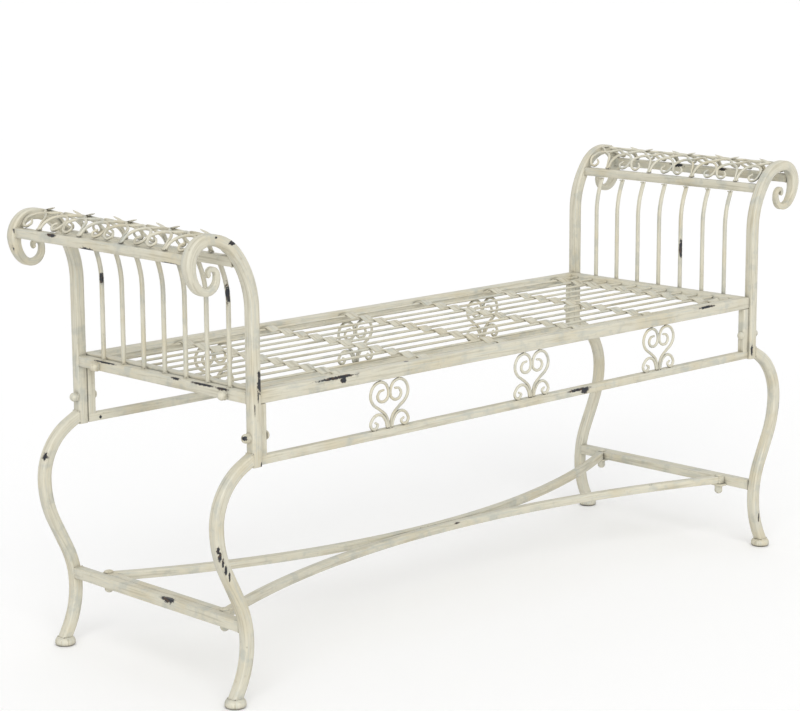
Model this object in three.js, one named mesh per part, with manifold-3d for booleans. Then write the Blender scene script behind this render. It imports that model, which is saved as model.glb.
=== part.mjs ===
// Rolled-arm wrought-iron bench: two scrolled end frames, a bolted seat with
// heart scrolls in its aprons, a rod-and-strap seat grille, and a bowed stretcher.
//
// Millimetres, +Z up. X runs along the bench, Y from front (-) to back (+).
// The origin is on the floor, under the middle of the bench.

import * as THREE from 'three';
import { mergeVertices } from 'three/addons/utils/BufferGeometryUtils.js';
import Module from 'manifold-3d';

const wasm = await Module();
wasm.setup();

// ---- Driving dimensions ----------------------------------------------------

const GAP = 0.3;                 // clearance between neighbouring pieces
const DEG = Math.PI / 180;

const BAR = 16;                  // square bar of posts, legs and frames
const BAR_ROUND = 2.2;           // corner break of that bar
const POST_X = 552;              // post centre, from the middle of the bench
const POST_Y = 199;              // post centre, from the middle of the bench
const POST_BOTTOM = 337;
const POST_RUN = 216.5;          // straight part of the post
const SCROLL_TIP_SCALE = 0.38;   // size of the scroll's tip against the full bar

const RIM_TOP = 442;             // seat height
const RIM_HEIGHT = 19;
const RIM_X = POST_X - BAR / 2 - GAP;   // outer end of the seat frame
const RIM_Y = 202;                      // front and back of the seat frame
const APRON_BAR = 12.7;          // square bar of the frames below the seat
const APRON_RAIL_TOP = POST_BOTTOM + APRON_BAR;

const CROSS_RAIL = { width: 14.4, bottom: 424, top: 439.3 };
const INNER_ARM_RAIL = { x: 574, z: 623, size: 14 };
const OUTER_ARM_RAIL = { x: 657, z: 634, size: 14 };

const SPINDLE_DIAMETER = 7;
const SPINDLE_PITCH = 48;
const SPINDLES_PER_END = 7;
const SPINDLE_X = 547.5;

const ROD_DIAMETER = 4;
const ROD_PITCH = 34;
const ROD_COUNT = 11;
const ROD_Z = 437.5;
const STRAP_WIDTH = 20;
const STRAP_THICKNESS = 2.4;
const STRAP_WAVE = 2.6;          // half the height of the strap's wave
const STRAP_FIRST_X = -373;
const STRAP_PITCH = 170.8;
const STRAP_COUNT = 6;

const HEART_WIRE = 4.5;
const HEART_PITCH = 302.5;
const HEART_SHIFT = 8.5;         // from the middle of the bench to the middle heart
const HEART_Y = 198.5;

const FOOT_DIAMETER = 31;
const FOOT_HEIGHT = 13;
const FOOT_X = 594;
const LEG_START = { x: POST_X + BAR / 2, z: 347, heading: -28 };

const END_STRETCHER = { x: 572, bottom: 102.5, top: 118.5 };
const STRETCHER_BAR = 12.7;
const STRETCHER_SAG = 6;         // how far the long bars hang below their ends at mid-span
const STRETCHER_HALF_WIDTH = 142;
const TAB = { length: 24, thickness: 3.2, reach: 15 };

const ARM_WIRE = 4.4;
const ARM_MOTIF_PITCH = 95.5;
const ARM_MOTIFS = 4;
const LEAF = { length: 25, width: 8.5, thickness: 3, tipLift: 6 };
const LEAF_SETBACK = 1;          // from the point where two motifs meet to the leaf's base

const SHANK_RADIUS = 3;
const HOLE_RADIUS = 3.8;
const OVERRUN = 5;               // how far holes and trimming blocks run past the metal they cut
const NUT = { radius: 7.2, base: 5, dome: 6.4 };
const TALL_NUT_BASE = 8.5;
const BOLT_HEAD = { radius: 7, height: 5.4 };
const POST_BOLT = { y: 197, z: 377.5 };
const RAIL_BOLT = { y: 146, z: 430 };
const STRETCHER_BOLT_Y = 134.5;

const PAINT_COLOUR = 0xd6d2c2;   // brushed antique cream

// Straight steps that stand for each curve.
const STEPS = {
  post: 24, leg: 15, spindle: 8, stretcher: 9,
  armScroll: 10, armCrest: 7, leaf: 3, heartLobe: 18, heartBase: 11,
};

// ---- Solids ------------------------------------------------------------------

function toSolid(geometry) {
  const bare = geometry.clone();
  for (const name of Object.keys(bare.attributes)) {
    if (name !== 'position') bare.deleteAttribute(name);
  }
  const merged = mergeVertices(bare, 1e-4);
  const mesh = new wasm.Mesh({
    numProp: 3,
    vertProperties: new Float32Array(merged.attributes.position.array),
    triVerts: new Uint32Array(merged.index.array),
  });
  return new wasm.Manifold(mesh);
}

function toGeometry(solid) {
  const mesh = solid.getMesh();
  const geometry = new THREE.BufferGeometry();
  geometry.setAttribute('position', new THREE.BufferAttribute(new Float32Array(mesh.vertProperties), 3));
  geometry.setIndex(new THREE.BufferAttribute(new Uint32Array(mesh.triVerts), 1));
  geometry.computeVertexNormals();
  return geometry;
}

function join(geometries) {
  return toGeometry(geometries.map(toSolid).reduce((whole, piece) => whole.add(piece)));
}

function cut(geometry, tools) {
  return toGeometry(tools.map(toSolid).reduce((whole, tool) => whole.subtract(tool), toSolid(geometry)));
}

// A box given by its lowest and highest corners.
function box(low, high) {
  const size = high.map((value, axis) => value - low[axis]);
  const geometry = new THREE.BoxGeometry(...size);
  geometry.translate(...high.map((value, axis) => (value + low[axis]) / 2));
  return geometry;
}

// A straight round bar or hole from one point to another.
function cylinder(from, to, radius, sides = 8) {
  const start = new THREE.Vector3(...from);
  const along = new THREE.Vector3(...to).sub(start);
  const geometry = new THREE.CylinderGeometry(radius, radius, along.length(), sides);
  geometry.rotateY(Math.PI / sides);
  const turn = new THREE.Quaternion().setFromUnitVectors(new THREE.Vector3(0, 1, 0), along.clone().normalize());
  geometry.applyQuaternion(turn);
  geometry.translate(...start.addScaledVector(along, 0.5).toArray());
  return geometry;
}

function roundedSquare(size, corner) {
  const half = size / 2;
  const flat = half - corner;
  const points = [
    [flat, -half], [half, -flat], [half, flat], [flat, half],
    [-flat, half], [-half, flat], [-half, -flat], [-flat, -half],
  ];
  return new THREE.Shape(points.map(([x, y]) => new THREE.Vector2(x, y)));
}

// A flat-sided section with the area of a circle of the given diameter.
function wireSection(sides, diameter) {
  const corner = 2 * Math.PI / sides;
  const radius = diameter / 2 * Math.sqrt(corner / Math.sin(corner));
  const corners = Array.from({ length: sides }, (_, i) => (2 * i + 1) * Math.PI / sides);
  return new THREE.Shape(corners.map((a) => new THREE.Vector2(radius * Math.cos(a), radius * Math.sin(a))));
}

// Bends a straight extrusion along a curve. `side(point, t)` is the direction that the
// section's second axis keeps, and `scale(t)` shrinks or grows the section on the way.
function sweep(section, curve, steps, side, scale = () => 1) {
  const geometry = new THREE.ExtrudeGeometry(section, { depth: 1, steps, bevelEnabled: false });
  const position = geometry.attributes.position;
  const point = new THREE.Vector3();
  for (let i = 0; i < position.count; i++) {
    const t = Math.min(1, Math.max(0, position.getZ(i)));
    const centre = curve.getPointAt(t);
    const tangent = curve.getTangentAt(t);
    const second = side(centre, t).clone().projectOnPlane(tangent).normalize();
    const first = new THREE.Vector3().crossVectors(second, tangent);
    point.copy(centre);
    point.addScaledVector(first, position.getX(i) * scale(t));
    point.addScaledVector(second, position.getY(i) * scale(t));
    position.setXYZ(i, point.x, point.y, point.z);
  }
  return geometry;
}

// A flat curve of straight runs and tangent arcs, walked at constant speed.
// Each leg is { run } or { radius, turn }, with turn in degrees and positive to the left.
// `place(a, b)` carries the flat curve into space.
class TangentArcs extends THREE.Curve {
  constructor(start, heading, legs, place) {
    super();
    this.place = place;
    this.legs = [];
    let [a, b] = start;
    let angle = heading * DEG;
    for (const leg of legs) {
      const length = leg.run ?? leg.radius * Math.abs(leg.turn) * DEG;
      const bend = leg.run ? 0 : Math.sign(leg.turn) / leg.radius;
      this.legs.push({ a, b, angle, length, bend });
      [a, b] = this.step(this.legs.at(-1), length);
      angle += bend * length;
    }
    this.length = this.legs.reduce((sum, leg) => sum + leg.length, 0);
  }

  step({ a, b, angle, bend }, distance) {
    if (bend === 0) return [a + distance * Math.cos(angle), b + distance * Math.sin(angle)];
    const end = angle + bend * distance;
    return [a + (Math.sin(end) - Math.sin(angle)) / bend, b - (Math.cos(end) - Math.cos(angle)) / bend];
  }

  getPoint(t) {
    let distance = t * this.length;
    let index = 0;
    while (index < this.legs.length - 1 && distance > this.legs[index].length) {
      distance -= this.legs[index].length;
      index += 1;
    }
    return this.place(...this.step(this.legs[index], distance));
  }

  getPointAt(t) {
    return this.getPoint(t);
  }
}

// ---- Places ------------------------------------------------------------------

const ENDS = [{ name: 'left', x: -1 }, { name: 'right', x: 1 }];
const SIDES = [{ name: 'front', y: -1 }, { name: 'back', y: 1 }];
const AXIS_Y = () => new THREE.Vector3(0, 1, 0);
const AXIS_Z = () => new THREE.Vector3(0, 0, 1);

// The upright plane of one post: `outward` grows away from the middle of the bench.
function endPlane(end, y) {
  return (outward, z) => new THREE.Vector3(end.x * outward, y, z);
}

const bench = new THREE.Group();

function assembly(name) {
  const group = new THREE.Group();
  group.name = name;
  bench.add(group);
  return group;
}

// Adds one piece to an assembly, at a place given as [x, y, z].
function add(group, name, geometry, place = [0, 0, 0]) {
  const paint = new THREE.MeshStandardMaterial({ color: PAINT_COLOUR, roughness: 0.55, metalness: 0.1 });
  const mesh = new THREE.Mesh(geometry, paint);
  mesh.name = name;
  mesh.position.set(...place);
  group.add(mesh);
  return mesh;
}

// ---- End frames ----------------------------------------------------------------

// The post goes straight up, rolls outward and winds into a tapered scroll.
const POST_ROLL = [
  { run: POST_RUN },
  { radius: 130, turn: -40 },
  { radius: 60, turn: -50 },
  { radius: 32, turn: -90 },
];
const POST_CURL = [
  { radius: 46, turn: -40 },
  { radius: 24, turn: -50 },
  { radius: 18, turn: -90 },
  { run: 3 },
  { radius: 9.5, turn: -90 },
  { radius: 5.5, turn: -130 },
];

function postBoltHole(end, side) {
  const y = side.y * POST_BOLT.y;
  const from = [end.x * (RIM_X - APRON_BAR - OVERRUN), y, POST_BOLT.z];
  const to = [end.x * (POST_X + BAR / 2 + OVERRUN), y, POST_BOLT.z];
  return cylinder(from, to, HOLE_RADIUS);
}

function post(end, side) {
  const place = endPlane(end, side.y * POST_Y);
  const curve = new TangentArcs([POST_X, POST_BOTTOM], 90, [...POST_ROLL, ...POST_CURL], place);
  const roll = new TangentArcs([0, 0], 90, POST_ROLL, place).length / curve.length;
  const curl = (t) => Math.max(0, (t - roll) / (1 - roll));
  const scale = (t) => 1 - (1 - SCROLL_TIP_SCALE) * curl(t) ** 0.8;
  // The straight run needs no steps, so the bend is swept alone and joined to it.
  const straight = POST_RUN / curve.length;
  const bent = new TangentArcs(
    [POST_X, POST_BOTTOM + POST_RUN], 90, [...POST_ROLL.slice(1), ...POST_CURL], place,
  );
  const section = roundedSquare(BAR, BAR_ROUND);
  const bend = sweep(section, bent, STEPS.post, AXIS_Y, (t) => scale(straight + t * (1 - straight)));
  const run = new TangentArcs([POST_X, POST_BOTTOM], 90, [{ run: POST_RUN + 0.01 }], place);
  return cut(join([sweep(section, run, 1, AXIS_Y), bend]), [postBoltHole(end, side)]);
}

// The leg leaves the outer face of the post, bellies outward and flares to the foot.
const LEG_CURVE = [
  { run: 16 },
  { radius: 90, turn: -62 },
  { radius: 150, turn: -26 },
  { run: 48 },
  { radius: 141, turn: 60 },
];

function leg(end, side) {
  const y = side.y * POST_Y;
  const buried = 12;
  const back = LEG_START.heading * DEG;
  const start = [LEG_START.x - buried * Math.cos(back), LEG_START.z - buried * Math.sin(back)];
  const curve = new TangentArcs(start, LEG_START.heading, [{ run: buried }, ...LEG_CURVE], endPlane(end, y));
  const bar = sweep(roundedSquare(BAR, BAR_ROUND), curve, STEPS.leg, AXIS_Y);
  const face = LEG_START.x + GAP;
  const postSide = box(
    [Math.min(0, end.x * face), y - BAR, LEG_START.z - 3 * BAR],
    [Math.max(0, end.x * face), y + BAR, LEG_START.z + 3 * BAR],
  );
  const below = box(
    [end.x * FOOT_X - 3 * BAR, y - BAR, -3 * BAR],
    [end.x * FOOT_X + 3 * BAR, y + BAR, FOOT_HEIGHT + GAP],
  );
  return cut(bar, [postSide, below]);
}

function foot() {
  const radius = FOOT_DIAMETER / 2;
  const profile = [
    [0, 0], [radius - 2.5, 0], [radius, 3], [radius, 8], [radius - 2, 11.3],
    [radius - 5.5, FOOT_HEIGHT], [0, FOOT_HEIGHT],
  ];
  const geometry = new THREE.LatheGeometry(profile.map(([r, z]) => new THREE.Vector2(r, z)), 12);
  geometry.rotateX(Math.PI / 2);
  return geometry;
}

const BETWEEN_POSTS = POST_Y - BAR / 2 - GAP;

function crossRail(end) {
  const inner = POST_X - CROSS_RAIL.width / 2;
  const outer = POST_X + CROSS_RAIL.width / 2;
  const bar = box(
    [Math.min(end.x * inner, end.x * outer), -BETWEEN_POSTS, CROSS_RAIL.bottom],
    [Math.max(end.x * inner, end.x * outer), BETWEEN_POSTS, CROSS_RAIL.top],
  );
  return cut(bar, SIDES.map((side) => railBoltHole(end, side)));
}

function railBoltHole(end, side) {
  const y = side.y * RAIL_BOLT.y;
  const from = [end.x * (RIM_X - BAR - OVERRUN), y, RAIL_BOLT.z];
  const to = [end.x * (POST_X + CROSS_RAIL.width / 2 + OVERRUN), y, RAIL_BOLT.z];
  return cylinder(from, to, HOLE_RADIUS);
}

function armRail(end, { x, z, size }) {
  const half = size / 2;
  return box([end.x * x - half, -BETWEEN_POSTS, z - half], [end.x * x + half, BETWEEN_POSTS, z + half]);
}

// Each spindle stands on the cross rail and leans outward into the inner arm rail.
function spindle(end) {
  const legs = [{ run: 116 }, { radius: 130, turn: -32 }];
  const curve = new TangentArcs([SPINDLE_X, CROSS_RAIL.top + GAP], 90, legs, endPlane(end, 0));
  const bar = sweep(wireSection(6, SPINDLE_DIAMETER), curve, STEPS.spindle, AXIS_Y);
  const centre = end.x * INNER_ARM_RAIL.x;
  const size = INNER_ARM_RAIL.size;
  const top = INNER_ARM_RAIL.z - size / 2 - GAP;
  return cut(bar, [box([centre - 2 * size, -size, top], [centre + 2 * size, size, top + 3 * size])]);
}

function endStretcher(end) {
  const { x, bottom, top } = END_STRETCHER;
  const half = BAR / 2;
  const bar = box([end.x * x - half, -BETWEEN_POSTS, bottom], [end.x * x + half, BETWEEN_POSTS, top]);
  const tabs = SIDES.map((side) => {
    const y = side.y * STRETCHER_BOLT_Y;
    const near = end.x * (x - half + 1);
    const far = end.x * (x - half - TAB.reach);
    return box(
      [Math.min(near, far), y - TAB.length / 2, bottom],
      [Math.max(near, far), y + TAB.length / 2, bottom + TAB.thickness],
    );
  });
  return cut(join([bar, ...tabs]), SIDES.map((side) => stretcherBoltHole(end, side)));
}

// ---- Arm scrollwork --------------------------------------------------------------

// The wires lie on a barrel surface that rises from the inner arm rail to a crest
// and falls to the outer one. `across` goes from 0 at the inner rail to ARM_ARC at the outer.
const onTopOf = ({ z, size }) => z + size / 2 + ARM_WIRE / 2 + GAP;
const ARM_INNER = new THREE.Vector2(INNER_ARM_RAIL.x + 1, onTopOf(INNER_ARM_RAIL));
const ARM_OUTER = new THREE.Vector2(OUTER_ARM_RAIL.x - 1, onTopOf(OUTER_ARM_RAIL));
const ARM_RISE = 24.5;
const ARM_CHORD = ARM_INNER.distanceTo(ARM_OUTER);
const ARM_RADIUS = (ARM_CHORD ** 2 / 4 + ARM_RISE ** 2) / (2 * ARM_RISE);
const ARM_SPREAD = 2 * Math.asin(ARM_CHORD / 2 / ARM_RADIUS);
const ARM_ARC = ARM_RADIUS * ARM_SPREAD;
const ARM_SLOPE = Math.atan2(ARM_OUTER.y - ARM_INNER.y, ARM_OUTER.x - ARM_INNER.x);
const ARM_CENTRE = ARM_INNER.clone().add(ARM_OUTER).multiplyScalar(0.5).add(
  new THREE.Vector2(Math.sin(ARM_SLOPE), -Math.cos(ARM_SLOPE)).multiplyScalar(ARM_RADIUS - ARM_RISE),
);

function barrel(end, along, across, lift = 0) {
  const angle = Math.PI / 2 + ARM_SLOPE + ARM_SPREAD * (0.5 - across / ARM_ARC);
  const radius = ARM_RADIUS + lift;
  return new THREE.Vector3(
    end.x * (ARM_CENTRE.x + radius * Math.cos(angle)), along, ARM_CENTRE.y + radius * Math.sin(angle),
  );
}

function barrelNormal(end) {
  return (point) => new THREE.Vector3(point.x - end.x * ARM_CENTRE.x, 0, point.z - ARM_CENTRE.y);
}

// One C-scroll: up from the rail, over, down and into a small curl. [along, across]
const ARM_SCROLL = [
  [1.5, 0], [3, 12], [9, 25], [22, 33], [36, 30], [46.6, 18], [41, 5], [31, 1.5], [25, 8], [30, 14],
];
// The wire that runs along the crest, dipping to touch the scrolls. [along, across]
const ARM_CREST = [
  [-ARM_MOTIF_PITCH / 2, ARM_ARC / 2], [-37, 46], [-22, 34], [0, 45],
  [22, 34], [37, 46], [ARM_MOTIF_PITCH / 2, ARM_ARC / 2],
];

function armWire(end, points, steps) {
  const path = points.map(([along, across]) => barrel(end, along, across));
  const curve = new THREE.CatmullRomCurve3(path, false, 'centripetal');
  return sweep(wireSection(4, ARM_WIRE), curve, steps, barrelNormal(end));
}

// A pointed leaf that springs from the crest.
function armLeaf(end, along, direction) {
  const { length, width, thickness, tipLift } = LEAF;
  const middle = ARM_ARC / 2;
  const curve = new THREE.CatmullRomCurve3([
    barrel(end, along, middle), barrel(end, along + direction * length / 2, middle, tipLift / 2),
    barrel(end, along + direction * length, middle, tipLift),
  ]);
  const corners = [[width / 2, 0], [0, thickness / 2], [-width / 2, 0], [0, -thickness / 2]];
  const section = new THREE.Shape(corners.map(([a, b]) => new THREE.Vector2(a, b)));
  const taper = (t) => Math.max(0.3, Math.sin(Math.PI * (0.16 + 0.78 * t)));
  return sweep(section, curve, STEPS.leaf, barrelNormal(end), taper);
}

function armScrollwork(end) {
  const reach = BETWEEN_POSTS - ARM_WIRE / 2 * 1.3;
  const rows = [(across) => across, (across) => ARM_ARC - across];
  const wires = [];
  for (let motif = 0; motif < ARM_MOTIFS; motif++) {
    const centre = (motif - (ARM_MOTIFS - 1) / 2) * ARM_MOTIF_PITCH;
    const inReach = (along) => THREE.MathUtils.clamp(centre + along, -reach, reach);
    for (const row of rows) {
      const crest = ARM_CREST.map(([along, across]) => [inReach(along), row(across)]);
      wires.push(armWire(end, crest, STEPS.armCrest));
      for (const hand of [-1, 1]) {
        const scroll = ARM_SCROLL.map(([along, across]) => [inReach(hand * along), row(across)]);
        wires.push(armWire(end, scroll, STEPS.armScroll));
      }
    }
    for (const hand of [-1, 1]) {
      wires.push(armLeaf(end, centre + hand * (ARM_MOTIF_PITCH / 2 - LEAF_SETBACK), -hand));
    }
  }
  return join(wires);
}

// ---- Seat ------------------------------------------------------------------------

function seatRim() {
  const outline = new THREE.Shape([
    new THREE.Vector2(-RIM_X, -RIM_Y), new THREE.Vector2(RIM_X, -RIM_Y),
    new THREE.Vector2(RIM_X, RIM_Y), new THREE.Vector2(-RIM_X, RIM_Y),
  ]);
  const x = RIM_X - BAR;
  const y = RIM_Y - BAR;
  outline.holes.push(new THREE.Path([
    new THREE.Vector2(-x, -y), new THREE.Vector2(-x, y), new THREE.Vector2(x, y), new THREE.Vector2(x, -y),
  ]));
  const rim = new THREE.ExtrudeGeometry(outline, { depth: RIM_HEIGHT, bevelEnabled: false });
  rim.translate(0, 0, RIM_TOP - RIM_HEIGHT);
  return cut(rim, ENDS.flatMap((end) => SIDES.map((side) => railBoltHole(end, side))));
}

// The lower apron rail with its two corner uprights is one bent-up frame.
function apronFrame(side) {
  const top = RIM_TOP - RIM_HEIGHT - GAP;
  const x = RIM_X - APRON_BAR;
  const outline = new THREE.Shape([
    [-RIM_X, POST_BOTTOM], [RIM_X, POST_BOTTOM], [RIM_X, top], [x, top],
    [x, APRON_RAIL_TOP], [-x, APRON_RAIL_TOP], [-x, top], [-RIM_X, top],
  ].map(([a, b]) => new THREE.Vector2(a, b)));
  const frame = new THREE.ExtrudeGeometry(outline, { depth: APRON_BAR, bevelEnabled: false });
  frame.rotateX(Math.PI / 2);
  frame.translate(0, side.y > 0 ? RIM_Y : APRON_BAR - RIM_Y, 0);
  return cut(frame, ENDS.map((end) => postBoltHole(end, side)));
}

// Rods along the bench, held by straps that wave over each rod and dip between them.
function seatGrille() {
  const halfLength = RIM_X - BAR - GAP;
  const halfWidth = RIM_Y - BAR - GAP;
  const rods = Array.from({ length: ROD_COUNT }, (_, i) => {
    const y = (i - (ROD_COUNT - 1) / 2) * ROD_PITCH;
    return cylinder([-halfLength, y, ROD_Z], [halfLength, y, ROD_Z], ROD_DIAMETER / 2);
  });
  const samples = ROD_COUNT * 4;
  const middle = ROD_Z + ROD_DIAMETER / 2 + STRAP_THICKNESS / 2 - STRAP_WAVE - 0.25;
  const wave = (y) => middle + STRAP_WAVE * Math.cos(2 * Math.PI * y / ROD_PITCH);
  const edge = Array.from({ length: samples + 1 }, (_, i) => -halfWidth + 2 * halfWidth * i / samples);
  const outline = new THREE.Shape([
    ...edge.map((y) => new THREE.Vector2(y, wave(y) - STRAP_THICKNESS / 2)),
    ...edge.toReversed().map((y) => new THREE.Vector2(y, wave(y) + STRAP_THICKNESS / 2)),
  ]);
  const straps = Array.from({ length: STRAP_COUNT }, (_, i) => {
    const strap = new THREE.ExtrudeGeometry(outline, { depth: STRAP_WIDTH, bevelEnabled: false });
    strap.rotateX(Math.PI / 2);
    strap.rotateZ(Math.PI / 2);
    strap.translate(STRAP_FIRST_X + i * STRAP_PITCH - STRAP_WIDTH / 2, 0, 0);
    return strap;
  });
  return join([...rods, ...straps]);
}

// ---- Heart scrolls -----------------------------------------------------------------

// Right half of a heart, from its foot up around the lobe into the curl. [x, height above the rail]
const HEART_LOBE = [
  [1.9, 2.6], [3.1, 10.5], [7.8, 20.5], [19.4, 29.9], [31, 37.8], [36.9, 47.2], [36.4, 57.8], [29.1, 67.2],
  [17.9, 70.4], [7.3, 66.2], [1.9, 55.7], [3.4, 45.7], [11.2, 40.7], [19.9, 42.5], [23.5, 49.4], [19.4, 56.2],
  [11.7, 57.8],
];
// The small scroll that curls outward on the rail at the foot of the heart.
const HEART_BASE = [
  [4.9, 2.6], [7.3, 11.4], [14.3, 20.3], [23.9, 22.7], [32.7, 18.7], [37.9, 9.9], [34.9, 3.7], [27.4, 2.9],
  [23.4, 8.3], [28.2, 11.4],
];

// One heart, standing on the origin in the XZ plane.
function heart() {
  const wires = [[HEART_LOBE, STEPS.heartLobe], [HEART_BASE, STEPS.heartBase]];
  return join([-1, 1].flatMap((hand) => wires.map(([points, steps]) => {
    const path = points.map(([a, b]) => new THREE.Vector3(hand * a, 0, b));
    const curve = new THREE.CatmullRomCurve3(path, false, 'centripetal');
    return sweep(wireSection(4, HEART_WIRE), curve, steps, AXIS_Y);
  })));
}

// ---- Stretcher ----------------------------------------------------------------------

const STRETCHER_END_X = END_STRETCHER.x - BAR / 2 - GAP - STRETCHER_BAR / 2;
const STRETCHER_Z = END_STRETCHER.bottom + TAB.thickness + GAP + STRETCHER_BAR / 2;

function stretcherBoltHole(end, side) {
  const x = end.x * STRETCHER_END_X;
  const y = side.y * STRETCHER_BOLT_Y;
  return cylinder([x, y, END_STRETCHER.bottom - OVERRUN], [x, y, STRETCHER_Z + STRETCHER_BAR], HOLE_RADIUS);
}

// Two bars bow inward and are welded side by side at mid-span, with a bar across each end.
function stretcher() {
  const section = roundedSquare(STRETCHER_BAR, 1.6);
  const halves = SIDES.flatMap((side) => ENDS.map((end) => {
    const hang = (a) => STRETCHER_SAG * (1 - (a / STRETCHER_END_X) ** 2);
    const place = (a, b) => new THREE.Vector3(end.x * a, side.y * b, STRETCHER_Z - hang(a));
    const rise = STRETCHER_BOLT_Y - STRETCHER_BAR / 2;
    const radius = (STRETCHER_END_X ** 2 + rise ** 2) / (2 * rise);
    const turn = Math.asin(STRETCHER_END_X / radius) / DEG;
    const lap = 0.05;
    const bow = new TangentArcs([-lap, STRETCHER_BAR / 2 - lap], 0, [{ run: lap }, { radius, turn }], place);
    return sweep(section, bow, STEPS.stretcher, AXIS_Z);
  }));
  const endBars = ENDS.map((end) => {
    const curve = new THREE.LineCurve3(
      new THREE.Vector3(end.x * STRETCHER_END_X, -STRETCHER_HALF_WIDTH, STRETCHER_Z),
      new THREE.Vector3(end.x * STRETCHER_END_X, STRETCHER_HALF_WIDTH, STRETCHER_Z),
    );
    return sweep(section, curve, 1, AXIS_Z);
  });
  const holes = ENDS.flatMap((end) => SIDES.map((side) => stretcherBoltHole(end, side)));
  return cut(join([...halves, ...endBars]), holes);
}

// ---- Bolts with domed nuts -------------------------------------------------------------

// The bolt lies along local +Z: domed nut below the origin face, shank, and head after `grip`.
function bolt(grip, nutBase = NUT.base) {
  const nutTop = -GAP;
  const domeSteps = 3;
  const dome = Array.from({ length: domeSteps + 1 }, (_, i) => {
    const angle = (i / domeSteps) * Math.PI / 2;
    return [NUT.dome * Math.sin(angle), nutTop - nutBase - NUT.dome * Math.cos(angle)];
  });
  const head = grip + GAP;
  const profile = [
    ...dome.map(([r, z], i) => (i === 0 ? [0, z] : [r, z])),
    [NUT.radius, nutTop - nutBase + 0.6], [NUT.radius, nutTop], [SHANK_RADIUS, nutTop],
    [SHANK_RADIUS, head], [BOLT_HEAD.radius, head], [BOLT_HEAD.radius, head + 1.2],
    [BOLT_HEAD.radius * 0.7, head + BOLT_HEAD.height * 0.8], [0, head + BOLT_HEAD.height],
  ];
  const geometry = new THREE.LatheGeometry(profile.map(([r, z]) => new THREE.Vector2(r, z)), 8);
  geometry.rotateX(Math.PI / 2);
  return geometry;
}

// ---- Assembly ---------------------------------------------------------------------------

function addBolts(group, end, side) {
  const corner = `${side.name}_${end.name}`;
  const postFace = POST_X + BAR / 2;
  const railFace = POST_X + CROSS_RAIL.width / 2;
  const inward = -end.x * Math.PI / 2;
  const postPlace = [end.x * postFace, side.y * POST_BOLT.y, POST_BOLT.z];
  const railPlace = [end.x * railFace, side.y * RAIL_BOLT.y, RAIL_BOLT.z];
  add(group, `post_bolt_${corner}`, bolt(postFace - RIM_X + APRON_BAR), postPlace).rotation.y = inward;
  add(group, `rail_bolt_${corner}`, bolt(railFace - RIM_X + BAR), railPlace).rotation.y = inward;
  const grip = STRETCHER_Z + STRETCHER_BAR / 2 - END_STRETCHER.bottom;
  const place = [end.x * STRETCHER_END_X, side.y * STRETCHER_BOLT_Y, END_STRETCHER.bottom];
  add(group, `stretcher_bolt_${corner}`, bolt(grip, TALL_NUT_BASE), place);
}

function addEndFrame(end) {
  const frame = assembly(`end_frame_${end.name}`);
  const bolts = assembly(`bolts_${end.name}`);
  for (const side of SIDES) {
    const corner = `${side.name}_${end.name}`;
    add(frame, `post_${corner}`, post(end, side));
    add(frame, `leg_${corner}`, leg(end, side));
    add(frame, `foot_${corner}`, foot(), [end.x * FOOT_X, side.y * POST_Y, 0]);
    addBolts(bolts, end, side);
  }
  add(frame, `cross_rail_${end.name}`, crossRail(end));
  add(frame, `inner_arm_rail_${end.name}`, armRail(end, INNER_ARM_RAIL));
  add(frame, `outer_arm_rail_${end.name}`, armRail(end, OUTER_ARM_RAIL));
  add(frame, `arm_scrollwork_${end.name}`, armScrollwork(end));
  add(frame, `end_stretcher_${end.name}`, endStretcher(end));
  for (let i = 0; i < SPINDLES_PER_END; i++) {
    const y = (i - (SPINDLES_PER_END - 1) / 2) * SPINDLE_PITCH;
    add(frame, `spindle_${end.name}_${i + 1}`, spindle(end), [0, y, 0]);
  }
}

function addSeat() {
  const seat = assembly('seat');
  add(seat, 'seat_rim', seatRim());
  add(seat, 'seat_grille', seatGrille());
  for (const side of SIDES) {
    add(seat, `apron_frame_${side.name}`, apronFrame(side));
    ['left', 'middle', 'right'].forEach((name, i) => {
      const place = [HEART_SHIFT + (i - 1) * HEART_PITCH, side.y * HEART_Y, APRON_RAIL_TOP];
      add(seat, `heart_${side.name}_${name}`, heart(), place);
    });
  }
}

ENDS.forEach(addEndFrame);
addSeat();
add(assembly('stretcher'), 'bowed_stretcher', stretcher());

export default bench;
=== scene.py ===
"""The looks of the rolled-arm iron bench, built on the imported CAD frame. Metres, +Z up."""

import math

import bpy
from mathutils import Matrix, Vector, noise

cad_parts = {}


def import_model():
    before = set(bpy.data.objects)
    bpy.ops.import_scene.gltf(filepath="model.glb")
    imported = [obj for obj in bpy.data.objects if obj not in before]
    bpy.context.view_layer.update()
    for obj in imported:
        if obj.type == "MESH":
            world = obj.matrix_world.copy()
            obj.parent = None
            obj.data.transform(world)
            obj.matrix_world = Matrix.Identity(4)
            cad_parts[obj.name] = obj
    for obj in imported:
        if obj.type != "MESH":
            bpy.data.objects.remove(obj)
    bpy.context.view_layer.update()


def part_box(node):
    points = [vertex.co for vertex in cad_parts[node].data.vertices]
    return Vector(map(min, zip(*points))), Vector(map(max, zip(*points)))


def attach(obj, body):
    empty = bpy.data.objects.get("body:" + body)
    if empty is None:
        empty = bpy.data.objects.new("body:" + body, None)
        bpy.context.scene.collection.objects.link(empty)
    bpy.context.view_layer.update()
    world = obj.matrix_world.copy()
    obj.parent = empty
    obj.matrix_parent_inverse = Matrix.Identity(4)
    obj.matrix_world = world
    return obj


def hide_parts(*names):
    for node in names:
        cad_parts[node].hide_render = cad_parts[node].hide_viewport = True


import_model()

MM = 0.001
GAP = 0.3 * MM
ENDS = {"left": -1, "right": 1}
SIDES = {"front": -1, "back": 1}
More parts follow.
